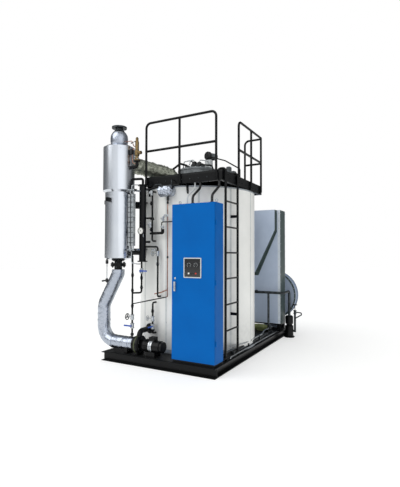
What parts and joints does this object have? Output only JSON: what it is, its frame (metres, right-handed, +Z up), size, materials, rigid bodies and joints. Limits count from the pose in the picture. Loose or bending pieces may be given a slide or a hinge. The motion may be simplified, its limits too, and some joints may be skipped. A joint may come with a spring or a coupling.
{
  "type": "industrial steam boiler",
  "caption": "Skid-mounted vertical steam boiler with a cased shell, top burner, platform with guardrails, steam separator, economizer and blue control cabinet.",
  "frame": {"origin": "centre of the skid's underside, on the ground", "axes": "+X to the right along the front, +Y to the back, +Z up"},
  "size_m": [2.3485, 3.467, 3.501],
  "materials": {
    "black_paint": "gloss black paint",
    "deck_paint": "black painted chequer plate",
    "casing_white": "cream white painted sheet",
    "ring_grey": "grey painted steel",
    "cabinet_blue": "blue powder coat",
    "cladding": "polished aluminium cladding",
    "foil_wrap": "aluminium foil wrap",
    "economizer_paint": "light blue grey paint",
    "bronze": "cast bronze",
    "copper_pipe": "drawn copper",
    "steel": "bright steel",
    "lever_blue": "blue dipped plastic",
    "galvanised": "galvanised sheet",
    "panel_grey": "light grey plastic",
    "lamp_red": "red lamp cap",
    "dial_black": "black gauge case"
  },
  "bodies": {
    "boiler": {"skid_side_beams": "black_paint", "skid_cross_beams": "black_paint", "skid_deck": "deck_paint", "base_ring": "ring_grey", "casing_panels": "casing_white", "casing_top": "casing_white", "windbox": "cladding", "burner_cover": "ring_grey", "damper_motor": "panel_grey", "gas_pipe": "black_paint", "platform_frame": "black_paint", "platform_deck": "deck_paint", "platform_supports": "black_paint", "front_guardrail": "black_paint", "right_guardrail": "black_paint", "ladder": "black_paint", "separator_lower_jacket": "cladding", "separator_upper_jacket": "cladding", "separator_bottom_cone": "cladding", "separator_top_head": "cladding", "steam_outlet": "black_paint", "separator_brackets": "black_paint", "separator_pipes": "black_paint", "downcomer_flanges": "black_paint", "downcomer": "foil_wrap", "downcomer_saddle": "black_paint", "pump_casing": "black_paint", "pump_motor": "black_paint", "pump_discharge": "black_paint", "riser": "foil_wrap", "water_column": "black_paint", "level_gauges": "steel", "gauge_cocks": "steel", "pressure_gauge": "dial_black", "valve_bodies": "steel", "pressure_pipes": "black_paint", "drain_pipes": "copper_pipe", "sample_cooler": "cladding", "safety_valve": "bronze", "cabinet_plinth": "black_paint", "cabinet_body": "cabinet_blue", "mounting_plate": "galvanised", "lifting_eyes": "steel", "conduits": "panel_grey", "economizer_stand": "black_paint", "economizer_box": "economizer_paint", "flue_cover": "economizer_paint", "fan_scroll": "economizer_paint", "fan_motor": "black_paint", "air_duct": "economizer_paint", "feed_pump": "black_paint", "feed_pipes": "steel"},
    "cabinet_door_leaf": {"cabinet_door": "cabinet_blue", "operator_panel": "panel_grey", "indicator_lamps": "lamp_red", "door_handle": "dial_black"},
    "column_lever": {"column_valve_lever": "lever_blue"},
    "drain_lever": {"drain_valve_lever": "lever_blue"},
    "drain_wheel": {"drain_handwheel": "black_paint"},
    "suction_valve_wheel": {"suction_wheel": "black_paint"}
  },
  "joints": [
    {"name": "cabinet_door_hinge", "type": "hinge", "parent": "boiler", "child": "cabinet_door_leaf", "pos_m": [0.906, -1.5735, 1.183], "axis": [0, 0, 1], "range_deg": [0, 110]},
    {"name": "column_lever_turn", "type": "hinge", "parent": "boiler", "child": "column_lever", "pos_m": [-0.385, -1.438, 1.3], "axis": [0, 1, 0], "range_deg": [0, 90]},
    {"name": "drain_lever_turn", "type": "hinge", "parent": "boiler", "child": "drain_lever", "pos_m": [-0.47, -1.538, 0.5181], "axis": [0, -1, 0], "range_deg": [0, 90]},
    {"name": "drain_wheel_turn", "type": "hinge", "parent": "boiler", "child": "drain_wheel", "pos_m": [-0.561, -1.5, 0.64021], "axis": [1, 0, 0], "continuous": true},
    {"name": "suction_wheel_turn", "type": "hinge", "parent": "boiler", "child": "suction_valve_wheel", "pos_m": [1.127, 1.29, 0.604], "axis": [0, 0, 1], "continuous": true}
  ]
}
